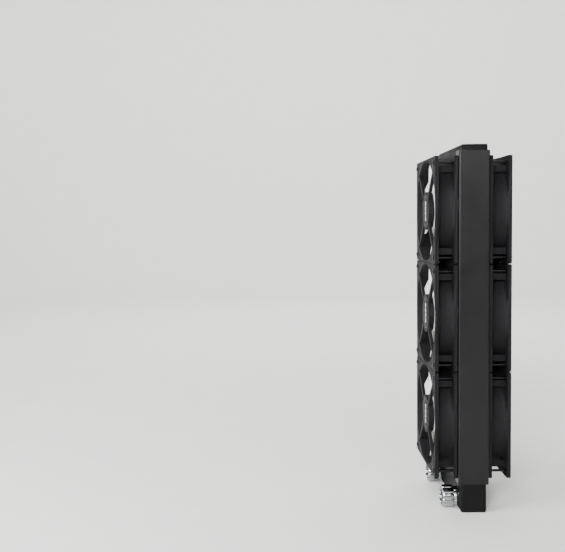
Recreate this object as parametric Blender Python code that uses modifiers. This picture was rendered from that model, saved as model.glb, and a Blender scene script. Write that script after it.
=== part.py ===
"""Triple 120 mm liquid cooling radiator with three fans on each broad face.

It stands upright on its port tank. X runs across its thickness, which is also the way the
air goes, Y runs across its width and Z runs up its length. The origin is the centre of the
port tank's lower face. All sizes are in metres.
"""

from math import cos, pi, radians, sin

import bmesh
import bpy
from mathutils import Matrix, Vector

# Fans
FAN_ROWS = 3
FAN_PITCH = 0.120
FAN_SIDE = 0.1194
FAN_DEPTH = 0.025
FAN_FLANGE = 0.004
FAN_CORNER_RADIUS = 0.0025
SCREW_PITCH = 0.105
SCREW_HOLE_RADIUS = 0.0021
BRACE_WALL = 0.0012
BRACE_LENGTH = 0.0072
BRACE_CLEARANCE = 0.0032
DUCT_RADIUS = 0.0578
DUCT_WALL = 0.0012
DUCT_FLARE_RADIUS = 0.0625
DUCT_FLARE_DEPTH = 0.0034
ARM_COUNT = 4
ARM_WIDTH = 0.005
ARM_DEPTH = 0.0035
ARM_OVERLAP = 0.002
MOTOR_MOUNT_RADIUS = 0.0222
MOTOR_MOUNT_DEPTH = 0.003
MOTOR_RIM_WALL = 0.0013
MOTOR_RIM_END = 0.0064
BEARING_TUBE_RADIUS = 0.0045
BEARING_TUBE_END = 0.015
BEARING_BORE_RADIUS = 0.0019

# Rotor and stator, with depths counted from the frame's outlet face
BLADE_COUNT = 7
BLADE_TIP_RADIUS = 0.0564
BLADE_THICKNESS = 0.0014
BLADE_START = 0.0072
BLADE_AXIAL = 0.014
BLADE_PHASE = radians(30)
BLADE_ROOT_ANGLE = radians(46)
BLADE_TIP_ANGLE = radians(43)
BLADE_SWEEP = radians(14)
BLADE_CAMBER = radians(5)
HUB_RADIUS = 0.0215
HUB_WALL = 0.0045
HUB_START = 0.0070
HUB_END = 0.0228
HUB_CAP = 0.0025
SHAFT_RADIUS = 0.0015
SHAFT_START = 0.0042
STATOR_INNER_RADIUS = 0.0049
STATOR_RADIUS = 0.0145
STATOR_START = 0.0035
STATOR_END = 0.013
STATOR_SLOT = 0.0035
STATOR_CORE_WALL = 0.003

# Housing
HOUSING_THICKNESS = 0.034
HOUSING_WIDTH = 0.128
HOUSING_LENGTH = 0.370
FLANGE_WIDTH = 0.016
BEND_RADIUS = 0.0016
SHEET = 0.001
THREAD_HOLE_RADIUS = 0.0016
GAP = 0.0003
CHANNEL_FOLD = 0.010
CHANNEL_LIP = 0.0011

# Tanks, headers and core
PORT_TANK_HEIGHT = 0.032
END_TANK_HEIGHT = 0.0065
TANK_THICKNESS = 0.0284
TANK_WALL = 0.0012
PORT_TANK_CORNER = 0.003
END_TANK_CORNER = 0.0018
HEADER_THICKNESS = 0.0012
TUBE_COUNT = 12
TUBE_THICKNESS = 0.002
TUBE_WALL = 0.0004
TUBE_NOSE_ROUNDING = 0.9
TUBE_STAND_OUT = 0.0006
CORE_DEPTH = 0.026
CORE_WIDTH = 0.1248

# Ports and fittings, with depths counted outward from the tank's face
PORT_SPACING = 0.088
PORT_HEIGHT = 0.0133
BOSS_RADIUS = 0.009
BOSS_DEPTH = 0.006
PORT_THREAD_RADIUS = 0.0066
COOLANT_BORE_RADIUS = 0.0048
FITTING_FLANGE_RADIUS = 0.0103
FITTING_FLANGE_END = 0.0052
SEAL_GROOVE_RADIUS = 0.0088
SEAL_GROOVE_DEPTH = 0.0015
SEAL_INNER_RADIUS = 0.0072
SEAL_OUTER_RADIUS = 0.0084
SEAL_DEPTH = 0.0012
COLLAR_THREAD_RADIUS = 0.0102
COLLAR_THREAD_END = 0.010
BARB_NECK_RADIUS = 0.0062
BARB_RADIUS = 0.0067
BARB_START = 0.015
BARB_TIP_RADIUS = 0.0057
BARB_END = 0.017
COLLAR_RADIUS = 0.0122
COLLAR_START = 0.0055
COLLAR_END = 0.0184
COLLAR_FLUTES = 12
COLLAR_FLUTE_DEPTH = 0.0008
COLLAR_BORE_TAPER_START = 0.0115
COLLAR_BORE_TAPER_END = 0.015
COLLAR_MOUTH_RADIUS = 0.0097

# Places worked out from the sizes above
HOUSING_BOTTOM = PORT_TANK_HEIGHT
HOUSING_TOP = HOUSING_BOTTOM + HOUSING_LENGTH
HOUSING_MIDDLE = (HOUSING_BOTTOM + HOUSING_TOP) / 2
FACE_X = HOUSING_THICKNESS / 2
SIDE_Y = HOUSING_WIDTH / 2
PORT_FACE_X = -TANK_THICKNESS / 2
HEADER_START = 2 * GAP + SHEET
CORE_BOTTOM = HOUSING_BOTTOM + HEADER_START - TUBE_STAND_OUT
CORE_TOP = HOUSING_TOP - HEADER_START + TUBE_STAND_OUT
ROW_NAMES = ("lower", "middle", "upper")

ROUND = 28
HUB_ROUND = 16
SMALL_ROUND = 16
HOLE_SIDES = 8


# Scene, materials and general shapes


def clear_scene():
    for obj in list(bpy.data.objects):
        bpy.data.objects.remove(obj, do_unlink=True)


def new_collection(name):
    made = bpy.data.collections.new(name)
    bpy.context.scene.collection.children.link(made)
    return made


def new_material(name, colour, roughness, metallic=0.0):
    made = bpy.data.materials.new(name)
    made.use_nodes = True
    shader = made.node_tree.nodes["Principled BSDF"]
    shader.inputs["Base Color"].default_value = (*colour, 1)
    shader.inputs["Roughness"].default_value = roughness
    shader.inputs["Metallic"].default_value = metallic
    made.diffuse_color = (*colour, 1)
    return made


def mesh_of(bm, name):
    bmesh.ops.recalc_face_normals(bm, faces=bm.faces)
    made = bpy.data.meshes.new(name)
    bm.to_mesh(made)
    bm.free()
    return made


def place(name, mesh, finish, location=(0, 0, 0)):
    """Puts a mesh in the radiator's collection as a sub-part of its own."""
    made = bpy.data.objects.new(name, mesh)
    made.location = location
    if not mesh.materials:
        mesh.materials.append(finish)
    radiator.objects.link(made)
    return made


def helper(mesh):
    """A cutter or a shape on its way to becoming one: kept out of the radiator."""
    made = bpy.data.objects.new(mesh.name, mesh)
    made.hide_render = True
    made.display_type = "WIRE"
    cutters.objects.link(made)
    return made


def block(low, high, radius=0.0, along=0, segments=2, name="block"):
    """A box between two corners, its edges along one axis rounded where a radius is given."""
    low, high = Vector(low), Vector(high)
    bm = bmesh.new()
    bmesh.ops.create_cube(bm, size=1)
    bmesh.ops.scale(bm, vec=high - low, verts=bm.verts)
    bmesh.ops.translate(bm, vec=(low + high) / 2, verts=bm.verts)
    if radius:
        lengthwise = [
            edge
            for edge in bm.edges
            if abs((edge.verts[1].co - edge.verts[0].co)[along]) > 1e-5
        ]
        bmesh.ops.bevel(
            bm, geom=lengthwise, offset=radius, segments=segments, profile=0.5, affect="EDGES"
        )
    return mesh_of(bm, name)


def rod(x0, x1, radius, y=0.0, z=0.0, sides=HOLE_SIDES, name="rod"):
    """A plain cylinder along X."""
    bm = bmesh.new()
    bmesh.ops.create_cone(
        bm,
        cap_ends=True,
        segments=sides,
        radius1=radius,
        radius2=radius,
        depth=x1 - x0,
        matrix=Matrix.Translation(((x0 + x1) / 2, y, z)) @ Matrix.Rotation(pi / 2, 4, "Y"),
    )
    return mesh_of(bm, name)


def prism(outline, x0, x1, name="prism"):
    """An outline of (y, z) points drawn out along X."""
    bm = bmesh.new()
    face = bm.faces.new([bm.verts.new((x0, y, z)) for y, z in outline])
    drawn = bmesh.ops.extrude_face_region(bm, geom=[face])["geom"]
    moved = [item for item in drawn if isinstance(item, bmesh.types.BMVert)]
    bmesh.ops.translate(bm, vec=(x1 - x0, 0, 0), verts=moved)
    return mesh_of(bm, name)


def welded(source, name):
    """The object as its modifiers leave it, as one closed mesh."""
    graph = bpy.context.evaluated_depsgraph_get()
    raw = bpy.data.meshes.new_from_object(source.evaluated_get(graph))
    bm = bmesh.new()
    bm.from_mesh(raw)
    bpy.data.meshes.remove(raw)
    bmesh.ops.remove_doubles(bm, verts=bm.verts, dist=1e-6)
    return mesh_of(bm, name)


def turned(profile, sides, closed=False, name="turned"):
    """A profile of (x, radius) points turned about X; a closed profile makes a ring."""
    bm = bmesh.new()
    points = [bm.verts.new((x, 0, radius)) for x, radius in profile]
    for first, second in zip(points, points[1:] + points[:1] * closed):
        bm.edges.new((first, second))
    made = helper(mesh_of(bm, name))
    screw = made.modifiers.new("Turn", "SCREW")
    screw.axis = "X"
    screw.steps = screw.render_steps = sides
    screw.use_merge_vertices = True
    screw.merge_threshold = 1e-6
    mesh = welded(made, name)
    bpy.data.objects.remove(made)
    return mesh


def cut_or_joined(mesh, tools, operation, name="shape", solver="EXACT"):
    """One Boolean after another on a mesh, its tools used up."""
    target = helper(mesh)
    used = [helper(tool) for tool in tools]
    for tool in used:
        step = target.modifiers.new(operation, "BOOLEAN")
        step.operation = operation
        step.solver = solver
        step.object = tool
    made = welded(target, name)
    for spent in [target, *used]:
        bpy.data.objects.remove(spent)
    return made


def cut(mesh, tools, name="cut", solver="EXACT"):
    return cut_or_joined(mesh, tools, "DIFFERENCE", name, solver)


def joined(mesh, tools, name="joined"):
    return cut_or_joined(mesh, tools, "UNION", name)


def smooth(mesh, angle=radians(35)):
    mesh.shade_smooth()
    mesh.set_sharp_from_angle(angle=angle)
    return mesh


def four_corners(offset):
    return [(y, z) for y in (-offset, offset) for z in (-offset, offset)]


def fan_places():
    """The name, outlet face and middle height of each of the six fans."""
    faces = {
        "left": -FACE_X - GAP - FAN_DEPTH,
        "right": FACE_X + GAP,
    }
    for side, x in faces.items():
        for row in range(FAN_ROWS):
            height = HOUSING_MIDDLE + (row - (FAN_ROWS - 1) / 2) * FAN_PITCH
            yield f"{side}_{ROW_NAMES[row]}", (x, 0, height)


# Fans. Each is built with its outlet face at x = 0 and its inlet face at x = FAN_DEPTH.


def duct_mesh():
    """The round duct, whose flared ends are trimmed by the square sides of the frame."""
    outer = DUCT_RADIUS + DUCT_WALL
    inner_end = FAN_FLANGE - GAP
    profile = [
        (inner_end, 0),
        (inner_end, DUCT_FLARE_RADIUS),
        (inner_end + DUCT_FLARE_DEPTH, outer),
        (FAN_DEPTH - inner_end - DUCT_FLARE_DEPTH, outer),
        (FAN_DEPTH - inner_end, DUCT_FLARE_RADIUS),
        (FAN_DEPTH - inner_end, 0),
    ]
    half = FAN_SIDE / 2 - GAP
    square = block((0, -half, -half), (FAN_DEPTH, half, half))
    return cut_or_joined(turned(profile, ROUND), [square], "INTERSECT")


def corner_brace_mesh(y_side, z_side):
    """Two walls that meet just inside one screw and run back towards the duct."""
    outer = SCREW_PITCH / 2 - BRACE_CLEARANCE
    inner = outer - BRACE_WALL
    end = outer - BRACE_LENGTH
    outline = [(outer, outer), (outer, end), (inner, end), (inner, inner), (end, inner), (end, outer)]
    placed = [(y * y_side, z * z_side) for y, z in outline]
    return prism(placed, FAN_FLANGE - GAP, FAN_DEPTH - FAN_FLANGE + GAP)


def arm_mesh(index):
    """One arm from the motor mount to the duct's wall."""
    reach = block(
        (0, MOTOR_MOUNT_RADIUS - ARM_OVERLAP, -ARM_WIDTH / 2),
        (ARM_DEPTH, DUCT_RADIUS + DUCT_WALL / 2, ARM_WIDTH / 2),
    )
    reach.transform(Matrix.Rotation(2 * pi * (index + 0.5) / ARM_COUNT, 4, "X"))
    return reach


def fan_frame_mesh():
    """Two square flanges on a flared duct, with corner braces, arms and a motor mount."""
    half = FAN_SIDE / 2
    flanges = []
    for x in (0, FAN_DEPTH - FAN_FLANGE):
        plate = block((x, -half, -half), (x + FAN_FLANGE, half, half), FAN_CORNER_RADIUS)
        holes = [
            rod(x - GAP, x + FAN_FLANGE + GAP, SCREW_HOLE_RADIUS, y, z)
            for y, z in four_corners(SCREW_PITCH / 2)
        ]
        flanges.append(cut(plate, holes))
    braces = [corner_brace_mesh(y, z) for y, z in four_corners(1)]
    body = joined(flanges[0], [flanges[1], duct_mesh(), *braces])
    body = cut(body, [rod(-GAP, FAN_DEPTH + GAP, DUCT_RADIUS, sides=ROUND)])
    rim_inner = MOTOR_MOUNT_RADIUS - MOTOR_RIM_WALL
    mount = turned(
        [
            (0, 0),
            (0, MOTOR_MOUNT_RADIUS),
            (MOTOR_RIM_END, MOTOR_MOUNT_RADIUS),
            (MOTOR_RIM_END, rim_inner),
            (MOTOR_MOUNT_DEPTH, rim_inner),
            (MOTOR_MOUNT_DEPTH, BEARING_TUBE_RADIUS),
            (BEARING_TUBE_END, BEARING_TUBE_RADIUS),
            (BEARING_TUBE_END, BEARING_BORE_RADIUS),
            (MOTOR_MOUNT_DEPTH, BEARING_BORE_RADIUS),
            (MOTOR_MOUNT_DEPTH, 0),
        ],
        HUB_ROUND,
    )
    arms = [arm_mesh(index) for index in range(ARM_COUNT)]
    return smooth(joined(body, [*arms, mount], "fan_frame"))


def blade_mesh(index):
    """A thin swept blade; its leading edge is at the inlet side and ahead in the turn."""
    root = HUB_RADIUS - 0.001
    bm = bmesh.new()
    bmesh.ops.create_grid(bm, x_segments=2, y_segments=3, size=0.5)
    for vert in bm.verts:
        chord, span = vert.co.x + 0.5, vert.co.y + 0.5
        radius = root + (BLADE_TIP_RADIUS - root) * span
        width = BLADE_ROOT_ANGLE + (BLADE_TIP_ANGLE - BLADE_ROOT_ANGLE) * span
        angle = (chord - 0.5) * width + BLADE_SWEEP * span**2
        angle += BLADE_CAMBER * 4 * chord * (1 - chord)
        angle += BLADE_PHASE + 2 * pi * index / BLADE_COUNT
        x = BLADE_START + BLADE_AXIAL * chord
        vert.co = (x, radius * cos(angle), radius * sin(angle))
    made = helper(mesh_of(bm, "blade"))
    shell = made.modifiers.new("Thickness", "SOLIDIFY")
    shell.thickness = BLADE_THICKNESS
    shell.offset = 0
    mesh = welded(made, "blade")
    bpy.data.objects.remove(made)
    return mesh


def rotor_mesh():
    """The hub cup with its magnet wall, the shaft inside it and seven blades."""
    profile = [
        (SHAFT_START, 0),
        (SHAFT_START, SHAFT_RADIUS),
        (HUB_END - HUB_CAP, SHAFT_RADIUS),
        (HUB_END - HUB_CAP, HUB_RADIUS - HUB_WALL),
        (HUB_START, HUB_RADIUS - HUB_WALL),
        (HUB_START, HUB_RADIUS),
        (HUB_END, HUB_RADIUS),
        (HUB_END, 0),
    ]
    hub = turned(profile, HUB_ROUND)
    blades = [blade_mesh(index) for index in range(BLADE_COUNT)]
    return smooth(joined(hub, blades, "fan_rotor"))


def stator_mesh():
    """The four-pole iron core with its windings, which fits round the bearing tube."""
    poles = cut(
        rod(STATOR_START, STATOR_END, STATOR_RADIUS, sides=SMALL_ROUND),
        [rod(STATOR_START - GAP, STATOR_END + GAP, STATOR_INNER_RADIUS)],
    )
    slots = []
    for index in range(ARM_COUNT):
        slot = block(
            (STATOR_START - GAP, STATOR_INNER_RADIUS + STATOR_CORE_WALL, -STATOR_SLOT / 2),
            (STATOR_END + GAP, STATOR_RADIUS + GAP, STATOR_SLOT / 2),
        )
        slot.transform(Matrix.Rotation(2 * pi * index / ARM_COUNT, 4, "X"))
        slots.append(slot)
    return smooth(cut(poles, slots, "fan_stator"))


def build_fans():
    frame, rotor, stator = fan_frame_mesh(), rotor_mesh(), stator_mesh()
    for name, location in fan_places():
        place(f"fan_frame_{name}", frame, fan_black, location)
        place(f"fan_rotor_{name}", rotor, blade_white, location)
        place(f"fan_stator_{name}", stator, winding_copper, location)


# Housing


def side_panel(name, side):
    """A sheet folded to a C, whose two flanges carry the screw holes of the fans."""
    path = [
        (-FACE_X, SIDE_Y - FLANGE_WIDTH),
        (-FACE_X, SIDE_Y - BEND_RADIUS),
        (-FACE_X + BEND_RADIUS, SIDE_Y),
        (FACE_X - BEND_RADIUS, SIDE_Y),
        (FACE_X, SIDE_Y - BEND_RADIUS),
        (FACE_X, SIDE_Y - FLANGE_WIDTH),
    ]
    bm = bmesh.new()
    points = [bm.verts.new((x, y * side, HOUSING_BOTTOM)) for x, y in path]
    edges = [bm.edges.new(pair) for pair in zip(points, points[1:])]
    drawn = bmesh.ops.extrude_edge_only(bm, edges=edges)["geom"]
    moved = [item for item in drawn if isinstance(item, bmesh.types.BMVert)]
    bmesh.ops.translate(bm, vec=(0, 0, HOUSING_LENGTH), verts=moved)
    folded = helper(mesh_of(bm, name))
    # An open sheet has no inside, so its faces are turned to look away from the core.
    if folded.data.polygons[2].normal.y * side < 0:
        folded.data.flip_normals()
    shell = folded.modifiers.new("Sheet", "SOLIDIFY")
    shell.thickness = SHEET
    shell.offset = -1
    shell.use_even_offset = True
    sheet = welded(folded, name)
    bpy.data.objects.remove(folded)
    heights = sorted({location[2] for _, location in fan_places()})
    holes = [
        rod(-FACE_X - GAP, FACE_X + GAP, THREAD_HOLE_RADIUS, side * SCREW_PITCH / 2, height + offset)
        for height in heights
        for offset in (-SCREW_PITCH / 2, SCREW_PITCH / 2)
    ]
    # The exact solver leaves a sliver open beside one hole of this long thin sheet.
    place(name, smooth(cut(sheet, holes, name, "MANIFOLD")), housing_black)


def end_channel(name, end, direction):
    """A rectangular trough across one end, folded over both faces and open to the tank."""
    half_x = FACE_X - SHEET - GAP
    half_y = SIDE_Y - SHEET - BEND_RADIUS
    near = end + direction * GAP

    def between(low_xy, high_xy, start, stop):
        low, high = sorted((near + direction * start, near + direction * stop))
        return block((*low_xy, low), (*high_xy, high))

    outer = between((-half_x, -half_y), (half_x, half_y), 0, CHANNEL_FOLD)
    inside_x = half_x - SHEET
    trough = between(
        (-inside_x, -half_y - GAP), (inside_x, half_y + GAP), SHEET, CHANNEL_FOLD + GAP
    )
    window_x = inside_x - CHANNEL_LIP
    window_y = half_y - SHEET - GAP
    window = between((-window_x, -window_y), (window_x, window_y), -GAP, SHEET + GAP)
    place(name, cut(outer, [trough, window], name), housing_black)


# Tanks, headers and core


def tank_mesh(height, corner, name):
    """A pressed box, rounded at its closed corners and open where it meets the core.

    It is built with its closed side down, and the end tank is turned over afterwards.
    """
    half_x = TANK_THICKNESS / 2
    depth = height - GAP

    def rounded(inset, top):
        half_y = SIDE_Y - inset
        radius = corner - inset
        steps = 4
        outline = [(-half_y, top), (half_y, top)]
        for side, start in ((1, 0), (-1, -pi / 2)):
            for step in range(steps + 1):
                angle = start - step * pi / 2 / steps
                y = side * (half_y - radius) + radius * cos(angle)
                z = inset + radius + radius * sin(angle)
                outline.append((y, z))
        return prism(outline, -half_x + inset, half_x - inset)

    return cut(rounded(0, depth), [rounded(TANK_WALL, depth + GAP)], name)


def build_tanks():
    port_tank = tank_mesh(PORT_TANK_HEIGHT, PORT_TANK_CORNER, "port_tank")
    holes = [
        rod(
            PORT_FACE_X - GAP,
            PORT_FACE_X + TANK_WALL + GAP,
            BOSS_RADIUS + GAP,
            y,
            PORT_HEIGHT,
            sides=SMALL_ROUND,
        )
        for y in (-PORT_SPACING / 2, PORT_SPACING / 2)
    ]
    place("port_tank", smooth(cut(port_tank, holes, "port_tank")), housing_black)
    end_tank = tank_mesh(END_TANK_HEIGHT, END_TANK_CORNER, "end_tank")
    end_tank.transform(
        Matrix.Translation((0, 0, HOUSING_TOP + END_TANK_HEIGHT)) @ Matrix.Rotation(pi, 4, "X")
    )
    place("end_tank", smooth(end_tank), housing_black)


def tube_places():
    """The middle of each flat tube across the width."""
    pitch = (CORE_WIDTH - TUBE_THICKNESS * TUBE_COUNT) / (TUBE_COUNT + 1) + TUBE_THICKNESS
    return [(index - (TUBE_COUNT - 1) / 2) * pitch for index in range(TUBE_COUNT)]


def header_plate(name, bottom):
    """The plate that the tube ends pass through."""
    half_x = FACE_X - 2 * SHEET - 2 * GAP
    half_y = SIDE_Y - SHEET - 2 * GAP
    plate = block((-half_x, -half_y, bottom), (half_x, half_y, bottom + HEADER_THICKNESS))
    slot_x = CORE_DEPTH / 2 + GAP
    slot_y = TUBE_THICKNESS / 2 + GAP
    slots = [
        block(
            (-slot_x, y - slot_y, bottom - GAP),
            (slot_x, y + slot_y, bottom + HEADER_THICKNESS + GAP),
        )
        for y in tube_places()
    ]
    place(name, cut(plate, slots, name), core_black)


def flat_tube_mesh(length):
    """A flat tube with rounded narrow edges, open at both ends."""
    half_x, half_y = CORE_DEPTH / 2, TUBE_THICKNESS / 2
    nose = half_y * TUBE_NOSE_ROUNDING
    outer = block((-half_x, -half_y, 0), (half_x, half_y, length), nose, along=2)
    half_x -= TUBE_WALL
    half_y -= TUBE_WALL
    nose = half_y * TUBE_NOSE_ROUNDING
    inner = block((-half_x, -half_y, -GAP), (half_x, half_y, length + GAP), nose, along=2)
    return smooth(cut(outer, [inner], "coolant_tube"))


def build_core():
    header_plate("header_plate_lower", HOUSING_BOTTOM + HEADER_START)
    header_plate("header_plate_upper", HOUSING_TOP - HEADER_START - HEADER_THICKNESS)
    tube = flat_tube_mesh(CORE_TOP - CORE_BOTTOM)
    tubes = tube_places()
    for number, y in enumerate(tubes, 1):
        place(f"coolant_tube_{number:02d}", tube, core_black, (0, y, CORE_BOTTOM))
    pitch = tubes[1] - tubes[0]
    half_x = CORE_DEPTH / 2
    half_y = (pitch - TUBE_THICKNESS) / 2 - GAP
    clear_of_header = HEADER_START + HEADER_THICKNESS + 2 * GAP
    strip = block(
        (-half_x, -half_y, HOUSING_BOTTOM + clear_of_header),
        (half_x, half_y, HOUSING_TOP - clear_of_header),
        name="fin_strip",
    )
    for number in range(TUBE_COUNT + 1):
        y = tubes[0] + (number - 0.5) * pitch
        place(f"fin_strip_{number + 1:02d}", strip, core_black, (0, y, 0))


# Ports and fittings. Each is turned about X with the tank's outer face at x = 0.


def mirrored_depths(profile):
    """Depths counted outward from the tank's face, which looks along -X."""
    return [(-depth, radius) for depth, radius in profile]


def fitting_base_mesh():
    """The threaded stem, the flange with its seal groove, the collar's thread and the barb."""
    stem_end = GAP - BOSS_DEPTH
    stem_radius = PORT_THREAD_RADIUS - GAP
    profile = [
        (stem_end, COOLANT_BORE_RADIUS),
        (stem_end, stem_radius),
        (SEAL_GROOVE_DEPTH, stem_radius),
        (SEAL_GROOVE_DEPTH, SEAL_GROOVE_RADIUS),
        (GAP, SEAL_GROOVE_RADIUS),
        (GAP, FITTING_FLANGE_RADIUS),
        (FITTING_FLANGE_END, FITTING_FLANGE_RADIUS),
        (COLLAR_THREAD_END, COLLAR_THREAD_RADIUS),
        (COLLAR_THREAD_END, BARB_NECK_RADIUS),
        (BARB_START, BARB_RADIUS),
        (BARB_START, BARB_NECK_RADIUS),
        (BARB_END, BARB_TIP_RADIUS),
        (BARB_END, COOLANT_BORE_RADIUS),
    ]
    return smooth(turned(mirrored_depths(profile), SMALL_ROUND, True, "fitting_base"))


def collar_mesh():
    """The fluted ring that screws over the base and presses the hose onto the barb."""
    steps_per_flute = 4
    sides = COLLAR_FLUTES * steps_per_flute
    ring = rod(-COLLAR_END, -COLLAR_START, COLLAR_RADIUS, sides=sides)
    for vert in ring.vertices:
        around = Vector((vert.co.y, vert.co.z)).angle_signed(Vector((0, 1)))
        if round(around / (2 * pi) * sides) % steps_per_flute == 0:
            vert.co.y *= 1 - COLLAR_FLUTE_DEPTH / COLLAR_RADIUS
            vert.co.z *= 1 - COLLAR_FLUTE_DEPTH / COLLAR_RADIUS
    thread = FITTING_FLANGE_RADIUS + GAP
    bore = turned(
        mirrored_depths(
            [
                (COLLAR_START - GAP, 0),
                (COLLAR_START - GAP, thread),
                (COLLAR_BORE_TAPER_START, thread),
                (COLLAR_BORE_TAPER_END, COLLAR_MOUTH_RADIUS),
                (COLLAR_END + GAP, COLLAR_MOUTH_RADIUS),
                (COLLAR_END + GAP, 0),
            ]
        ),
        SMALL_ROUND,
    )
    return smooth(cut(ring, [bore], "fitting_collar"), radians(20))


def build_fittings():
    boss = turned(
        mirrored_depths(
            [
                (0, PORT_THREAD_RADIUS),
                (0, BOSS_RADIUS),
                (-BOSS_DEPTH, BOSS_RADIUS),
                (-BOSS_DEPTH, PORT_THREAD_RADIUS),
            ]
        ),
        SMALL_ROUND,
        True,
        "port_boss",
    )
    seal = turned(
        mirrored_depths(
            [
                (GAP, SEAL_INNER_RADIUS),
                (GAP, SEAL_OUTER_RADIUS),
                (SEAL_DEPTH, SEAL_OUTER_RADIUS),
                (SEAL_DEPTH, SEAL_INNER_RADIUS),
            ]
        ),
        SMALL_ROUND,
        True,
        "port_seal",
    )
    base, collar = fitting_base_mesh(), collar_mesh()
    for name, y in (("front", -PORT_SPACING / 2), ("rear", PORT_SPACING / 2)):
        location = (PORT_FACE_X, y, PORT_HEIGHT)
        place(f"port_boss_{name}", smooth(boss), brass, location)
        place(f"port_seal_{name}", smooth(seal), seal_rubber, location)
        place(f"fitting_base_{name}", base, chrome, location)
        place(f"fitting_collar_{name}", collar, chrome, location)


clear_scene()
radiator = new_collection("Radiator")
cutters = new_collection("Cutters")
housing_black = new_material("Housing black", (0.012, 0.012, 0.013), 0.45)
core_black = new_material("Core black", (0.010, 0.010, 0.010), 0.6)
fan_black = new_material("Fan black", (0.014, 0.014, 0.015), 0.5)
blade_white = new_material("Blade white", (0.80, 0.80, 0.80), 0.4)
winding_copper = new_material("Winding copper", (0.45, 0.19, 0.08), 0.4, 1.0)
brass = new_material("Brass", (0.60, 0.42, 0.16), 0.35, 1.0)
chrome = new_material("Chrome", (0.62, 0.62, 0.64), 0.12, 1.0)
seal_rubber = new_material("Seal rubber", (0.012, 0.012, 0.012), 0.8)

build_fans()
side_panel("side_panel_front", -1)
side_panel("side_panel_rear", 1)
end_channel("end_channel_lower", HOUSING_BOTTOM, 1)
end_channel("end_channel_upper", HOUSING_TOP, -1)
build_tanks()
build_core()
build_fittings()
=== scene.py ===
from math import cos, pi, radians, sin

import bmesh
import bpy
from mathutils import Matrix, Vector


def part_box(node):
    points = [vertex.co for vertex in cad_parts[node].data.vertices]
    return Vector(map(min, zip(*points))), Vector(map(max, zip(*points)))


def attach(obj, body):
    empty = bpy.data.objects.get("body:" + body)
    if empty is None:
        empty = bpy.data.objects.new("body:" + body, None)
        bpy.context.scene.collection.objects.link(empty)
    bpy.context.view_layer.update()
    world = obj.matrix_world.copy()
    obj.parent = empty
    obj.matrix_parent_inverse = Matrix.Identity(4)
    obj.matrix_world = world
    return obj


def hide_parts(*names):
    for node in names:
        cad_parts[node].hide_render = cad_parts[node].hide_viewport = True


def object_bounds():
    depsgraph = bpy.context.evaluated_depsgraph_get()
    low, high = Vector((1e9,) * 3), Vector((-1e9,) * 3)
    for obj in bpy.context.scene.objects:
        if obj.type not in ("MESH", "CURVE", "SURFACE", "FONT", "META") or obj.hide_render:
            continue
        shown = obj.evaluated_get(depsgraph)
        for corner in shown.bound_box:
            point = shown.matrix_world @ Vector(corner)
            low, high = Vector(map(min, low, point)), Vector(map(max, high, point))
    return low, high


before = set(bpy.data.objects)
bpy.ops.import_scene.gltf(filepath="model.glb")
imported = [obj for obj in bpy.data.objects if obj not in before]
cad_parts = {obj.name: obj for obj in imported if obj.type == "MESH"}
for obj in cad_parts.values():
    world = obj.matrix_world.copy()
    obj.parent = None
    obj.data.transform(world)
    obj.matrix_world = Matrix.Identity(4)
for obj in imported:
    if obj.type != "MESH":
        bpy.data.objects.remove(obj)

cad_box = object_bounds()


# Camera
# It stands 0.9 m in front of the radiator and a little to its left, level with the upper fans,
# so the long side panel faces it and the left-hand fans are seen almost edge on.

camera_optics = bpy.data.cameras.new("Camera")
camera_optics.lens = 49.4
camera_optics.shift_y = -0.02
camera = bpy.data.objects.new("Camera", camera_optics)
camera.location = (-0.206, -0.912, 0.325)
camera_turn, camera_tilt, camera_roll = radians(0.28), radians(86.9), radians(-0.58)
camera.rotation_euler = (
    Matrix.Rotation(camera_turn, 3, "Z")
    @ Matrix.Rotation(camera_tilt, 3, "X")
    @ Matrix.Rotation(camera_roll, 3, "Z")
).to_euler()
bpy.context.scene.collection.objects.link(camera)
bpy.context.scene.camera = camera


# Studio
# A seamless display table: matt white laminate that runs level under the radiator and
# curves up into a wall all round it, lit by five cloth-fronted soft boxes.


def linear(hex_colour):
    """An sRGB hex colour as the linear colour that a shader's socket takes."""
    shares = [int(hex_colour[start : start + 2], 16) / 255 for start in (1, 3, 5)]
    return [c / 12.92 if c <= 0.04045 else ((c + 0.055) / 1.055) ** 2.4 for c in shares] + [1.0]


def add_node(tree, kind, settings={}, links={}):
    """Adds a node, sets its sockets or its own choices by name, and feeds its inputs."""
    node = tree.nodes.new(kind)
    for name, value in settings.items():
        if isinstance(name, int) or name in node.inputs:
            node.inputs[name].default_value = value
        else:
            setattr(node, name, value)
    for name, output in links.items():
        tree.links.new(output, node.inputs[name])
    return node


def new_material(name, settings):
    """A material with a Principled shader, whose sockets take the settings."""
    made = bpy.data.materials.new(name)
    made.use_nodes = True
    shader = made.node_tree.nodes["Principled BSDF"]
    for socket, value in settings.items():
        shader.inputs[socket].default_value = value
    return made, made.node_tree, shader


def new_mesh(bm, name, smooth_below=radians(32)):
    """A finished mesh whose faces shade smoothly across all but its sharp edges."""
    bmesh.ops.recalc_face_normals(bm, faces=bm.faces)
    made = bpy.data.meshes.new(name)
    bm.to_mesh(made)
    bm.free()
    made.shade_smooth()
    made.set_sharp_from_angle(angle=smooth_below)
    return made


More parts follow.
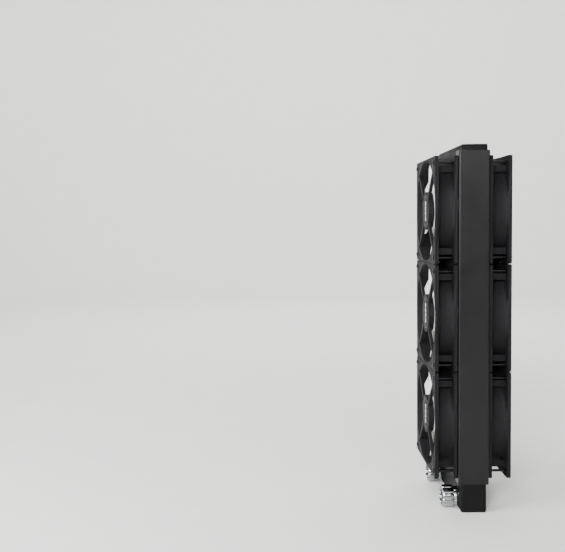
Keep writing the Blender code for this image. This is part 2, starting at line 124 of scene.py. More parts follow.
def turned(profile, sides, name="turned", closed=False, shape=None):
    """A profile of (x, radius) points turned about X.

    A closed profile makes a ring. A shape function gives each radius at each angle, which
    cuts flutes or flats into the turned form.
    """
    bm = bmesh.new()
    rings = []
    for x, radius in profile:
        if radius == 0:
            rings.append([bm.verts.new((x, 0, 0))] * sides)
            continue
        ring = []
        for step in range(sides):
            angle = 2 * pi * step / sides
            reach = shape(x, radius, angle) if shape else radius
            ring.append(bm.verts.new((x, reach * sin(angle), reach * cos(angle))))
        rings.append(ring)
    for first, second in zip(rings, rings[1:] + rings[:1] * closed):
        for step in range(sides):
            after = (step + 1) % sides
            corners = [first[step], first[after], second[after], second[step]]
            distinct = list(dict.fromkeys(corners))
            if len(distinct) > 2:
                bm.faces.new(distinct)
    return new_mesh(bm, name)


# Matt laminate: even and white, but the paper under it shows as a very faint cloudiness, a few
# centimetres across.
white_laminate, laminate_tree, laminate_shader = new_material(
    "Matt white laminate", {"Roughness": 0.85, "Specular IOR Level": 0.2}
)
laminate_place = add_node(laminate_tree, "ShaderNodeTexCoord")
laminate_cloud = add_node(
    laminate_tree,
    "ShaderNodeTexNoise",
    {"Scale": 18.0, "Detail": 2.0},
    {"Vector": laminate_place.outputs["Object"]},
)
laminate_tone = add_node(
    laminate_tree, "ShaderNodeValToRGB", {}, {"Fac": laminate_cloud.outputs["Fac"]}
)
laminate_tone.color_ramp.elements[0].color = linear("#e9e9e7")
laminate_tone.color_ramp.elements[1].color = linear("#f0f0ee")
laminate_tree.links.new(laminate_tone.outputs["Color"], laminate_shader.inputs["Base Color"])

table_radius, cove_radius, wall_height = 2.6, 1.0, 2.4
cove_steps = 12
cove = []
for step in range(cove_steps + 1):
    rise = step * pi / 2 / cove_steps
    cove.append((cove_radius * (1 - cos(rise)), table_radius + cove_radius * sin(rise)))
table_mesh = turned([(0, 0), *cove, (wall_height, table_radius + cove_radius)], 96, "studio_table")
table_mesh.transform(Matrix.Rotation(-pi / 2, 4, "Y"))
table_mesh.materials.append(white_laminate)
studio_table = bpy.data.objects.new("studio_table", table_mesh)
bpy.context.scene.collection.objects.link(studio_table)


def soft_box(name, place, aim, width, height, power):
    """A rectangular soft light that faces its aim and stays out of the picture."""
    lamp = bpy.data.lights.new(name, "AREA")
    lamp.shape = "RECTANGLE"
    lamp.size, lamp.size_y = width, height
    lamp.energy = power
    made = bpy.data.objects.new(name, lamp)
    made.location = place
    made.rotation_euler = (Vector(aim) - Vector(place)).to_track_quat("-Z", "Y").to_euler()
    made.visible_camera = False
    bpy.context.scene.collection.objects.link(made)


radiator_middle = (cad_box[0] + cad_box[1]) / 2
soft_box("key_front", (-0.55, -1.5, 0.85), radiator_middle, 0.5, 0.8, 42)
soft_box("side_left", (-1.15, -0.50, 0.70), radiator_middle, 0.8, 0.9, 24)
soft_box("face_top", (0.42, -1.9, 0.80), radiator_middle, 0.9, 0.4, 7)
soft_box("rim_right", (1.3, 0.9, 0.9), radiator_middle, 0.6, 0.8, 5)
soft_box("backdrop_light", (0.0, 1.1, 2.2), (-0.4, 3.2, 0.3), 2.2, 0.8, 110)

studio_air = bpy.data.worlds.new("Studio air")
studio_air.use_nodes = True
studio_air.node_tree.nodes["Background"].inputs["Color"].default_value = linear("#f4f5f6")
studio_air.node_tree.nodes["Background"].inputs["Strength"].default_value = 0.15
bpy.context.scene.world = studio_air


# Side panels
# Two long covers of 1 mm steel sheet, folded to a C on a press brake, punched and tapped for
# the fan screws, and powder coated satin black before they go on.


def arc(centre, radius, start, stop, steps):
    """Points along an arc, as pairs, from one angle in degrees to another."""
    return [
        (
            centre[0] + radius * cos(radians(start + (stop - start) * step / steps)),
            centre[1] + radius * sin(radians(start + (stop - start) * step / steps)),
        )
        for step in range(steps + 1)
    ]


def worked(mesh, name, *steps):
    """The mesh after a run of modifiers, each given as its kind and its settings."""
    bench = bpy.data.objects.new(name, mesh)
    bpy.context.scene.collection.objects.link(bench)
    for kind, settings in steps:
        step = bench.modifiers.new(kind, kind)
        for setting, value in settings.items():
            setattr(step, setting, value)
    graph = bpy.context.evaluated_depsgraph_get()
    made = bpy.data.meshes.new_from_object(bench.evaluated_get(graph))
    made.name = name
    bpy.data.objects.remove(bench)
    return made


def combined(mesh, name, operation, tools):
    """Cuts, joins or trims a mesh with each tool in turn."""
    benches = []
    for tool in tools:
        bench = bpy.data.objects.new("tool", tool)
        bpy.context.scene.collection.objects.link(bench)
        benches.append(bench)
    steps = [
        ("BOOLEAN", {"operation": operation, "solver": "MANIFOLD", "object": bench})
        for bench in benches
    ]
    made = worked(mesh, name, *steps)
    for bench in benches:
        bpy.data.objects.remove(bench)
    return made


def softened(mesh, name, width, segments=2, angle=50):
    """Breaks the sharp edges, as coating, moulding or tumbling does."""
    bevel = {
        "width": width,
        "segments": segments,
        "limit_method": "ANGLE",
        "angle_limit": radians(angle),
        "use_clamp_overlap": False,
    }
    made = worked(mesh, name, ("BEVEL", bevel))
    made.shade_smooth()
    made.set_sharp_from_angle(angle=radians(40))
    return worked(made, name, ("WEIGHTED_NORMAL", {"keep_sharp": True, "weight": 100}))


def drawn(points, reach, name="drawn"):
    """A closed outline of 3-D points drawn out by a vector."""
    bm = bmesh.new()
    face = bm.faces.new([bm.verts.new(point) for point in points])
    parts = bmesh.ops.extrude_face_region(bm, geom=[face])["geom"]
    moved = [part for part in parts if isinstance(part, bmesh.types.BMVert)]
    bmesh.ops.translate(bm, vec=reach, verts=moved)
    return new_mesh(bm, name)


def block(low, high, name="block"):
    """A plain box between two corners."""
    (x0, y0, z0), (x1, y1, z1) = low, high
    return drawn([(x0, y0, z0), (x0, y1, z0), (x0, y1, z1), (x0, y0, z1)], (x1 - x0, 0, 0), name)


def rod(x0, x1, radius, y=0.0, z=0.0, sides=24):
    """A plain round bar along X, as a drill or a punch would fill."""
    made = turned([(x0, 0), (x0, radius), (x1, radius), (x1, 0)], sides)
    made.transform(Matrix.Translation((0, y, z)))
    return made


def fit(name, mesh, material, body="radiator", at=(0, 0, 0), replaces=()):
    """Puts a piece in its place, on its body, in place of its plain CAD solids."""
    made = bpy.data.objects.new(name, mesh)
    made.location = at
    mesh.materials.clear()
    mesh.materials.append(material)
    bpy.context.scene.collection.objects.link(made)
    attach(made, body)
    if replaces:
        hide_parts(*replaces)
    return made


# Powder coat is fused polyester: a satin skin with a fine orange peel, about 1 mm across, that
# breaks the highlight a little, and a gloss that drifts slowly from place to place.
powder_coat, coat_tree, coat_shader = new_material(
    "Satin black powder coat", {"IOR": 1.5, "Specular IOR Level": 0.26}
)
coat_place = add_node(coat_tree, "ShaderNodeTexCoord")
coat_peel = add_node(
    coat_tree,
    "ShaderNodeTexNoise",
    {"Scale": 1100.0, "Detail": 3.0, "Roughness": 0.55},
    {"Vector": coat_place.outputs["Object"]},
)
coat_cloud = add_node(
    coat_tree,
    "ShaderNodeTexNoise",
    {"Scale": 38.0, "Detail": 4.0},
    {"Vector": coat_place.outputs["Object"]},
)
coat_tone = add_node(coat_tree, "ShaderNodeValToRGB", {}, {"Fac": coat_cloud.outputs["Fac"]})
coat_tone.color_ramp.elements[0].color = linear("#0a0a0b")
coat_tone.color_ramp.elements[1].color = linear("#0f0f10")
coat_gloss = add_node(
    coat_tree,
    "ShaderNodeMapRange",
    {"From Min": 0.3, "From Max": 0.7, "To Min": 0.29, "To Max": 0.38},
    {"Value": coat_cloud.outputs["Fac"]},
)
coat_bump = add_node(
    coat_tree,
    "ShaderNodeBump",
    {"Strength": 0.22, "Distance": 0.00006},
    {"Height": coat_peel.outputs["Fac"]},
)
coat_tree.links.new(coat_tone.outputs["Color"], coat_shader.inputs["Base Color"])
coat_tree.links.new(coat_gloss.outputs["Result"], coat_shader.inputs["Roughness"])
coat_tree.links.new(coat_bump.outputs["Normal"], coat_shader.inputs["Normal"])

sheet = 0.001
bend_radius = 0.0018
tapped_hole_radius = 0.0016
coated_edge = 0.00018
screw_pitch = 0.105
fan_rows = ("lower", "middle", "upper")
fan_centres = {
    row: sum(corner.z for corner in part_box(f"fan_frame_left_{row}")) / 2 for row in fan_rows
}
screw_heights = [
    centre + step for centre in fan_centres.values() for step in (-screw_pitch / 2, screw_pitch / 2)
]

for panel_end, panel_side in (("front", -1), ("rear", 1)):
    panel_name = f"side_panel_{panel_end}"
    low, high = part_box(panel_name)
    outer_y = max(abs(low.y), abs(high.y))
    flange_y = min(abs(low.y), abs(high.y))
    section = [
        (low.x, flange_y),
        *arc((low.x + bend_radius, outer_y - bend_radius), bend_radius, 180, 90, 8),
        *arc((high.x - bend_radius, outer_y - bend_radius), bend_radius, 90, 0, 8),
        (high.x, flange_y),
    ]
    bm = bmesh.new()
    along = [bm.verts.new((x, y * panel_side, low.z)) for x, y in section]
    folds = [bm.edges.new(pair) for pair in zip(along, along[1:])]
    parts = bmesh.ops.extrude_edge_only(bm, edges=folds)["geom"]
    moved = [part for part in parts if isinstance(part, bmesh.types.BMVert)]
    bmesh.ops.translate(bm, vec=(0, 0, high.z - low.z), verts=moved)
    bm.faces.ensure_lookup_table()
    for face in bm.faces:
        away = face.calc_center_median() - Vector((0, outer_y * panel_side / 2, 0))
        if face.normal.dot(Vector((away.x, away.y, 0))) < 0:
            face.normal_flip()
    open_sheet = bpy.data.meshes.new(panel_name)
    bm.to_mesh(open_sheet)
    bm.free()
    folded = worked(
        open_sheet,
        panel_name,
        ("SOLIDIFY", {"thickness": sheet, "offset": -1, "use_even_offset": True}),
    )
    punches = [
        rod(low.x - sheet, high.x + sheet, tapped_hole_radius, panel_side * screw_pitch / 2, height)
        for height in screw_heights
    ]
    punched = combined(folded, panel_name, "DIFFERENCE", punches)
    fit(
        f"{panel_name}_sheet",
        softened(punched, panel_name, coated_edge, 2, 60),
        powder_coat,
        replaces=[panel_name],
    )


# End channels
# Short troughs of steel sheet across each end, between the side panels. Their folds stiffen the
# housing above and below the fans, and only these folds show.

# Baked enamel is sprayed thinly on the channels and the tanks. The oven dulls it to a fine dry
# grain, about 0.8 mm across, with hardly any gloss.
tank_enamel, enamel_tree, enamel_shader = new_material(
    "Baked matt black enamel", {"IOR": 1.5, "Specular IOR Level": 0.1}
)
enamel_place = add_node(enamel_tree, "ShaderNodeTexCoord")
enamel_grain = add_node(
    enamel_tree,
    "ShaderNodeTexNoise",
    {"Scale": 1300.0, "Detail": 3.0, "Roughness": 0.6},
    {"Vector": enamel_place.outputs["Object"]},
)
enamel_cloud = add_node(
    enamel_tree,
    "ShaderNodeTexNoise",
    {"Scale": 45.0, "Detail": 4.0},
    {"Vector": enamel_place.outputs["Object"]},
)
enamel_tone = add_node(
    enamel_tree, "ShaderNodeValToRGB", {}, {"Fac": enamel_cloud.outputs["Fac"]}
)
enamel_tone.color_ramp.elements[0].color = linear("#0a0a0b")
enamel_tone.color_ramp.elements[1].color = linear("#101011")
enamel_gloss = add_node(
    enamel_tree,
    "ShaderNodeMapRange",
    {"From Min": 0.3, "From Max": 0.7, "To Min": 0.5, "To Max": 0.62},
    {"Value": enamel_cloud.outputs["Fac"]},
)
enamel_bump = add_node(
    enamel_tree,
    "ShaderNodeBump",
    {"Strength": 0.25, "Distance": 0.00005},
    {"Height": enamel_grain.outputs["Fac"]},
)
enamel_tree.links.new(enamel_tone.outputs["Color"], enamel_shader.inputs["Base Color"])
enamel_tree.links.new(enamel_gloss.outputs["Result"], enamel_shader.inputs["Roughness"])
enamel_tree.links.new(enamel_bump.outputs["Normal"], enamel_shader.inputs["Normal"])

for channel in ("end_channel_lower", "end_channel_upper"):
    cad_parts[channel].data.materials.clear()
    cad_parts[channel].data.materials.append(tank_enamel)


# Tanks
# Brass pressings, 1.2 mm thick, soldered to the core at their open side. The deep lower one
# holds the ports and the shallow upper one turns the coolant round. Enamelled like the channels.

tank_wall = 0.0012
port_tank_corner = 0.0026
end_tank_corner = 0.0017
corner_thinning = 0.7
solder_gap = 0.0002


def bulged_block(low, high, radius, name):
    """A box whose edges and corners are all rounded alike."""
    return softened(block(low, high), name, radius, 5)


def pressed_tank(node, radius, open_side):
    """A box-shaped shell, rounded all over but for its sharp rim where it meets the core."""
    low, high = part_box(node)
    past_rim = 0.006
    reach = Vector((0, 0, open_side * past_rim))
    wall = Vector((tank_wall, tank_wall, tank_wall))
    low_end, high_end = (low, high + reach) if open_side > 0 else (low + reach, high)
    outer = bulged_block(low_end, high_end, radius, node)
    inner_radius = radius - tank_wall * corner_thinning
    hollow = bulged_block(low_end + wall, high_end - wall, inner_radius, "hollow")
    rim_z = high.z if open_side > 0 else low.z
    beyond = sorted((rim_z, rim_z + open_side * 2 * past_rim))
    margin = Vector((sheet, sheet, 0))
    trim_low, trim_high = low - margin, high + margin
    trim_low.z, trim_high.z = beyond
    return combined(outer, node, "DIFFERENCE", [hollow, block(trim_low, trim_high)])


port_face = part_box("port_tank")[0].x
port_ends = ("front", "rear")
port_places = {
    end: (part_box(f"port_boss_{end}")[0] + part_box(f"port_boss_{end}")[1]) / 2 for end in port_ends
}
boss_radius = (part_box("port_boss_front")[1].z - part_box("port_boss_front")[0].z) / 2
port_holes = [
    rod(port_face - sheet, port_face + 2 * tank_wall, boss_radius + solder_gap, at.y, at.z, 48)
    for at in port_places.values()
]
port_shell = pressed_tank("port_tank", port_tank_corner, 1)
pressings = {
    "port_tank": combined(port_shell, "port_tank", "DIFFERENCE", port_holes),
    "end_tank": pressed_tank("end_tank", end_tank_corner, -1),
}
for tank, pressing in pressings.items():
    pressing.shade_smooth()
    pressing.set_sharp_from_angle(angle=radians(30))
    fit(f"{tank}_pressing", pressing, tank_enamel, replaces=[tank])


# Header plates and coolant tubes
# The flat tubes are rolled from brass strip and seamed; their ends pass through the slots of
# the header plates and are soldered there. A thin dip of black paint covers all of it.

# Dip paint is thinner than powder: it stays dull, and the brass warms it where it is thinnest.
core_paint, paint_tree, paint_shader = new_material(
    "Dipped black core paint", {"Roughness": 0.55, "IOR": 1.45}
)
paint_place = add_node(paint_tree, "ShaderNodeTexCoord")
paint_runs = add_node(
    paint_tree,
    "ShaderNodeTexNoise",
    {"Scale": 160.0, "Detail": 5.0, "Distortion": 0.6},
    {"Vector": paint_place.outputs["Object"]},
)
paint_tone = add_node(paint_tree, "ShaderNodeValToRGB", {}, {"Fac": paint_runs.outputs["Fac"]})
paint_tone.color_ramp.elements[0].position = 0.35
paint_tone.color_ramp.elements[0].color = linear("#131313")
paint_tone.color_ramp.elements[1].position = 0.85
paint_tone.color_ramp.elements[1].color = linear("#26211c")
paint_gloss = add_node(
    paint_tree,
    "ShaderNodeMapRange",
    {"To Min": 0.45, "To Max": 0.68},
    {"Value": paint_runs.outputs["Fac"]},
)
paint_bump = add_node(
    paint_tree,
    "ShaderNodeBump",
    {"Strength": 0.3, "Distance": 0.00008},
    {"Height": paint_runs.outputs["Fac"]},
)
paint_tree.links.new(paint_tone.outputs["Color"], paint_shader.inputs["Base Color"])
paint_tree.links.new(paint_gloss.outputs["Result"], paint_shader.inputs["Roughness"])
paint_tree.links.new(paint_bump.outputs["Normal"], paint_shader.inputs["Normal"])

for plate in ("header_plate_lower", "header_plate_upper"):
    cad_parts[plate].data.materials.clear()
    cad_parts[plate].data.materials.append(core_paint)

tube_nodes = sorted(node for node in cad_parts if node.startswith("coolant_tube"))
tube_low, tube_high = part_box(tube_nodes[0])
tube_half_x = (tube_high.x - tube_low.x) / 2
tube_half_y = (tube_high.y - tube_low.y) / 2
tube_wall = 0.0003


def flat_tube_outline(inset):
    """A long slot shape: two straight walls joined by half-round noses."""
    radius = tube_half_y - inset
    straight = tube_half_x - tube_half_y
    return arc((straight, 0), radius, -90, 90, 10) + arc((-straight, 0), radius, 90, 270, 10)


tube_length = tube_high.z - tube_low.z
bm = bmesh.new()
tube_walls = []
for inset in (0, tube_wall):
    rings = [
        [bm.verts.new((x, y, z)) for x, y in flat_tube_outline(inset)] for z in (0, tube_length)
    ]
    tube_walls.append(rings)
count = len(tube_walls[0][0])
for step in range(count):
    after = (step + 1) % count
    for lower, upper in tube_walls:
        bm.faces.new((lower[step], lower[after], upper[after], upper[step]))
    for level in (0, 1):
        outer, inner = tube_walls[0][level], tube_walls[1][level]
        bm.faces.new((outer[step], outer[after], inner[after], inner[step]))
flat_tube = new_mesh(bm, "flat_tube")
for node in tube_nodes:
    low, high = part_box(node)
    fit(
        f"{node}_rolled",
        flat_tube,
        core_paint,
        at=((low.x + high.x) / 2, (low.y + high.y) / 2, low.z),
        replaces=[node],
    )


# Fin strips
# Copper foil folded into a tight serpentine between the tubes, each crest soldered to a tube
# wall. The crests are 3.2 mm apart, so there is a fin every 1.6 mm.

strip_nodes = sorted(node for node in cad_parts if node.startswith("fin_strip"))
strip_low, strip_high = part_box(strip_nodes[0])
strip_half_y = (strip_high.y - strip_low.y) / 2
strip_length = strip_high.z - strip_low.z
foil = 0.00012
crest_spacing = 0.0032
crest_tightness = 0.9
fold_count = round(strip_length / crest_spacing)
fold_pitch = strip_length / fold_count
crest_radius = fold_pitch / 4 * crest_tightness
reach = strip_half_y - crest_radius - foil
serpentine = []
for fold in range(fold_count):
    base = fold * fold_pitch
    serpentine += arc((-reach, base + fold_pitch / 4), crest_radius, 250, 110, 4)
    serpentine += arc((reach, base + fold_pitch * 3 / 4), crest_radius, -70, 70, 4)
bm = bmesh.new()
edge_run = [bm.verts.new((strip_low.x + foil, y, z)) for y, z in serpentine]
runs = [bm.edges.new(pair) for pair in zip(edge_run, edge_run[1:])]
parts = bmesh.ops.extrude_edge_only(bm, edges=runs)["geom"]
moved = [part for part in parts if isinstance(part, bmesh.types.BMVert)]
bmesh.ops.translate(bm, vec=(strip_high.x - strip_low.x - 2 * foil, 0, 0), verts=moved)
fin_sheet = bpy.data.meshes.new("folded_foil")
bm.to_mesh(fin_sheet)
bm.free()
fin_mesh = worked(fin_sheet, "folded_foil", ("SOLIDIFY", {"thickness": foil, "offset": 0}))
fin_mesh.shade_smooth()
fin_mesh.set_sharp_from_angle(angle=radians(50))
for node in strip_nodes:
    low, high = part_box(node)
    fit(
        f"{node}_folded",
        fin_mesh,
        core_paint,
        at=(0, (low.y + high.y) / 2, low.z),
        replaces=[node],
    )


# Ports and their seals
# Brass bosses turned on a lathe, tapped G1/4 and soldered flush into the port tank. A rubber
# O-ring in each fitting's groove seals against their faces.

# Turned brass: fine concentric tool marks, warm yellow, slightly dulled by handling.
turned_brass, brass_tree, brass_shader = new_material("Turned brass", {"Metallic": 1.0})
brass_place = add_node(brass_tree, "ShaderNodeTexCoord")
brass_marks = add_node(
    brass_tree,
    "ShaderNodeTexNoise",
    {"Scale": 900.0, "Detail": 2.0},
    {"Vector": brass_place.outputs["Object"]},
)
brass_tone = add_node(brass_tree, "ShaderNodeValToRGB", {}, {"Fac": brass_marks.outputs["Fac"]})
brass_tone.color_ramp.elements[0].color = linear("#b08d4a")
brass_tone.color_ramp.elements[1].color = linear("#c9a45c")
brass_gloss = add_node(
    brass_tree,
    "ShaderNodeMapRange",
    {"To Min": 0.22, "To Max": 0.4},
    {"Value": brass_marks.outputs["Fac"]},
)
brass_tree.links.new(brass_tone.outputs["Color"], brass_shader.inputs["Base Color"])
brass_tree.links.new(brass_gloss.outputs["Result"], brass_shader.inputs["Roughness"])

# Nitrile rubber: dull black with a fine moulded grain.
seal_rubber, rubber_tree, rubber_shader = new_material("Nitrile rubber", {"Roughness": 0.75})
rubber_place = add_node(rubber_tree, "ShaderNodeTexCoord")
rubber_grain = add_node(
    rubber_tree,
    "ShaderNodeTexNoise",
    {"Scale": 2200.0, "Detail": 2.0},
    {"Vector": rubber_place.outputs["Object"]},
)
rubber_tone = add_node(rubber_tree, "ShaderNodeValToRGB", {}, {"Fac": rubber_grain.outputs["Fac"]})
rubber_tone.color_ramp.elements[0].color = linear("#121212")
rubber_tone.color_ramp.elements[1].color = linear("#1c1c1c")
rubber_tree.links.new(rubber_tone.outputs["Color"], rubber_shader.inputs["Base Color"])

for end in port_ends:
    for node, finish in ((f"port_boss_{end}", turned_brass), (f"port_seal_{end}", seal_rubber)):
        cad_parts[node].data.materials.clear()
        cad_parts[node].data.materials.append(finish)


# Compression fittings
# Turned brass, polished and chrome plated. The base screws into the port and ends in a barb
# for the hose; the fluted collar screws over it and squeezes the hose onto the barb.

# Bright chrome: almost a mirror, with the finest polishing lines and a cool tint. Its colour is set
# darker than chrome's own, as painted shade that stands for dark surroundings in its reflections.
chrome_plate, chrome_tree, chrome_shader = new_material(
    "Bright chrome plate", {"Metallic": 1.0, "Base Color": linear("#a3a5a7")}
)
chrome_place = add_node(chrome_tree, "ShaderNodeTexCoord")
chrome_stretch = add_node(
    chrome_tree,
    "ShaderNodeMapping",
    {"Scale": (900.0, 120.0, 120.0)},
    {"Vector": chrome_place.outputs["Object"]},
)
chrome_lines = add_node(
    chrome_tree,
    "ShaderNodeTexNoise",
    {"Scale": 4.0, "Detail": 3.0},
    {"Vector": chrome_stretch.outputs["Vector"]},
)
chrome_gloss = add_node(
    chrome_tree,
    "ShaderNodeMapRange",
    {"To Min": 0.05, "To Max": 0.17},
    {"Value": chrome_lines.outputs["Fac"]},
)
chrome_bump = add_node(
    chrome_tree,
    "ShaderNodeBump",
    {"Strength": 0.05, "Distance": 0.00002},
    {"Height": chrome_lines.outputs["Fac"]},
)
chrome_tree.links.new(chrome_gloss.outputs["Result"], chrome_shader.inputs["Roughness"])
chrome_tree.links.new(chrome_bump.outputs["Normal"], chrome_shader.inputs["Normal"])

base_low, base_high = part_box("fitting_base_front")
collar_low, collar_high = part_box("fitting_collar_front")
flange_radius = (base_high.z - base_low.z) / 2
collar_radius = (collar_high.z - collar_low.z) / 2
stem_depth = base_high.x - port_face
barb_end = port_face - base_low.x
collar_start = port_face - collar_high.x
collar_end = port_face - collar_low.x
bore_radius = 0.0048
stem_radius = 0.0063
stem_chamfer = 0.0005
seal_depth, seal_radius = 0.0015, 0.0088
grip_start, grip_end = 0.0003, 0.0052
grip_flutes, grip_flute_depth = 18, 0.0005
thread_start, thread_end = 0.0058, 0.0101
thread_pitch, thread_turns = 0.001, 4
barb_tip = 0.0056
collar_flutes, collar_flute_depth = 12, 0.0008
hose_mouth = 0.0097
mouth_start, collar_thread_end = 0.0150, 0.0115
collar_thread = flange_radius + 0.0003


def outward(profile):
    """Depths counted outward from the tank's face, which looks along -X."""
    return [(-depth, radius) for depth, radius in profile]


def scalloped(count, depth, start, stop):
    """Rounded hollows cut lengthwise into a turned form's rim between two depths."""
    rim = flange_radius - 0.0012
    fullness = 0.8
    slack = 1e-6

    def shape(x, radius, angle):
        inside = start - slack <= -x <= stop + slack and radius > rim
        hollow = max(0.0, cos(angle * count)) ** fullness
        return radius - depth * hollow * inside

    return shape


# From the bore's inner end: the stem, the groove behind the seal's face, and the fluted grip
# with its rounded edges.
base_profile = [
    (-stem_depth, bore_radius),
    (-stem_depth, stem_radius - stem_chamfer),
    (-stem_depth + stem_chamfer, stem_radius),
    (seal_depth, stem_radius),
    (seal_depth, seal_radius),
    (grip_start, seal_radius),
    (grip_start, flange_radius - 0.0006),
    (grip_start + 0.0002, flange_radius - 0.0002),
    (grip_start + 0.0006, flange_radius),
    (grip_end - 0.0007, flange_radius),
    (grip_end - 0.0003, flange_radius - 0.0002),
    (grip_end - 0.0001, flange_radius - 0.0006),
    (grip_end, flange_radius - 0.0011),
    (thread_start, flange_radius - 0.0011),
]
for turn in range(thread_turns):
    groove = thread_start + thread_pitch * turn
    base_profile += [
        (groove + thread_pitch * 0.3, flange_radius - 0.0003),
        (groove + thread_pitch * 0.5, flange_radius - 0.0003),
        (groove + thread_pitch * 0.95, flange_radius - 0.0009),
    ]
# The barb: two ridges that rise slowly towards the tank and drop sharply, so the hose slides on
# and stays.
base_profile += [
    (thread_end, flange_radius - 0.0014),
    (thread_end, 0.0062),
    (0.0112, 0.0061),
    (0.0138, 0.0067),
    (0.0140, 0.0067),
    (0.0142, 0.0061),
    (0.0160, 0.0066),
    (0.0162, 0.0060),
    (barb_end - 0.0004, barb_tip),
    (barb_end, barb_tip - 0.0003),
    (barb_end, bore_radius + 0.0002),
    (barb_end - 0.0003, bore_radius),
]
fitting_base = turned(
    outward(base_profile),
    144,
    "fitting_base",
    True,
    scalloped(grip_flutes, grip_flute_depth, grip_start + 0.0002, grip_end - 0.0003),
)

collar_profile = [
    (collar_start, collar_thread),
    (collar_start, collar_radius - 0.0009),
    (collar_start + 0.0003, collar_radius - 0.0003),
    (collar_start + 0.0008, collar_radius),
    (collar_end - 0.0011, collar_radius),
    (collar_end - 0.0005, collar_radius - 0.0003),
    (collar_end - 0.0001, collar_radius - 0.0009),
    (collar_end, hose_mouth + 0.0006),
    (collar_end - 0.0002, hose_mouth + 0.0002),
    (collar_end - 0.0006, hose_mouth),
    (mouth_start, hose_mouth),
    (collar_thread_end, collar_thread),
]
fitting_collar = turned(
    outward(collar_profile),
    240,
    "fitting_collar",
    True,
    scalloped(collar_flutes, collar_flute_depth, collar_start + 0.0003, collar_end - 0.0001),
)

for end in port_ends:
    at = (port_face, port_places[end].y, port_places[end].z)
    fit(
        f"fitting_base_{end}_plated",
        fitting_base,
        chrome_plate,
        at=at,
        replaces=[f"fitting_base_{end}"],
    )
    fit(
        f"fitting_collar_{end}_plated",
        fitting_collar,
        chrome_plate,
        f"collar_{end}",
        at=at,
        replaces=[f"fitting_collar_{end}"],
    )


# Fan frames
# Injection moulded in black PBT, each in one piece: two square flanges on a flared duct, with an
# angled brace beside each screw and four arms that carry the motor mount on the outlet side.

# The mould is spark eroded, which leaves a fine dull grain, about 0.4 mm across, and the melt
# leaves slow clouds of slightly different gloss.
frame_plastic, plastic_tree, plastic_shader = new_material(
    "Moulded black PBT", {"IOR": 1.55, "Specular IOR Level": 0.07}
)
plastic_place = add_node(plastic_tree, "ShaderNodeTexCoord")
plastic_grain = add_node(
    plastic_tree,
    "ShaderNodeTexNoise",
    {"Scale": 2400.0, "Detail": 3.0, "Roughness": 0.6},
    {"Vector": plastic_place.outputs["Object"]},
)
plastic_flow = add_node(
    plastic_tree,
    "ShaderNodeTexNoise",
    {"Scale": 45.0, "Detail": 3.0, "Distortion": 0.8},
    {"Vector": plastic_place.outputs["Object"]},
)
plastic_tone = add_node(
    plastic_tree, "ShaderNodeValToRGB", {}, {"Fac": plastic_flow.outputs["Fac"]}
)
plastic_tone.color_ramp.elements[0].color = linear("#131314")
plastic_tone.color_ramp.elements[1].color = linear("#18181a")
plastic_gloss = add_node(
    plastic_tree,
    "ShaderNodeMapRange",
    {"To Min": 0.52, "To Max": 0.66},
    {"Value": plastic_flow.outputs["Fac"]},
)
plastic_bump = add_node(
    plastic_tree,
    "ShaderNodeBump",
    {"Strength": 0.3, "Distance": 0.00004},
    {"Height": plastic_grain.outputs["Fac"]},
)
plastic_tree.links.new(plastic_tone.outputs["Color"], plastic_shader.inputs["Base Color"])
plastic_tree.links.new(plastic_gloss.outputs["Result"], plastic_shader.inputs["Roughness"])
plastic_tree.links.new(plastic_bump.outputs["Normal"], plastic_shader.inputs["Normal"])

fan_low, fan_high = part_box("fan_frame_left_lower")
fan_depth = fan_high.x - fan_low.x
fan_half = (fan_high.z - fan_low.z) / 2
fan_corner = 0.0025
fan_flange = 0.004
duct_radius = 0.0578
duct_outer = 0.0590
mouth_radius = 0.0589
flare_radius = 0.0625
mount_radius = 0.0222
mount_depth = 0.003
mount_bevel = 0.0005
screw_hole = 0.0021
arm_thickness = 0.0035
arm_root_half, arm_tip_half = 0.0030, 0.0022
arm_edge = 0.0007
frame_edge = 0.0004
past_corners = 0.095
throat_lip = 0.0004
bearing_radius, bearing_end = 0.0045, 0.0150
shaft_bore = 0.0020
label_recess = 0.0004
label_margin = 0.0016
brace_clearance = 0.0032
brace_length = 0.0072
brace_wall = 0.0012
rim_wall = 0.0013
rim_end = 0.0064


def rounded_square(half, corner, x, steps=8):
    """The fan's outline with its four round corners, in the plane across X."""
    inner = half - corner
    outline = []
    centres = ((inner, inner), (-inner, inner), (-inner, -inner), (inner, -inner))
    for quarter, centre in enumerate(centres):
        outline += arc(centre, corner, 90 * quarter, 90 * quarter + 90, steps)
    return [(x, y, z) for y, z in outline]


def corner_brace(y_side, z_side):
    """Two thin walls that meet just inside a screw and run back towards the duct."""
    outer = screw_pitch / 2 - brace_clearance
    inner, end = outer - brace_wall, outer - brace_length
    outline = [
        (outer, outer),
        (outer, end),
        (inner, end),
        (inner, inner),
        (end, inner),
        (end, outer),
    ]
    points = [(fan_flange - sheet / 2, y * y_side, z * z_side) for y, z in outline]
    return drawn(points, (fan_depth - 2 * fan_flange + sheet, 0, 0))


def fan_arm(index):
    """A slim arm, thicker at the motor mount, from the mount to the duct's wall."""
    root, tip = mount_radius - 0.003, duct_outer - 0.0005
    points = [
        (0, root, -arm_root_half),
        (0, tip, -arm_tip_half),
        (0, tip, arm_tip_half),
        (0, root, arm_root_half),
    ]
    arm = softened(drawn(points, (arm_thickness, 0, 0)), "arm", arm_edge, 3)
    arm.transform(Matrix.Rotation(pi / 2 * (index + 0.5), 4, "X"))
    return arm


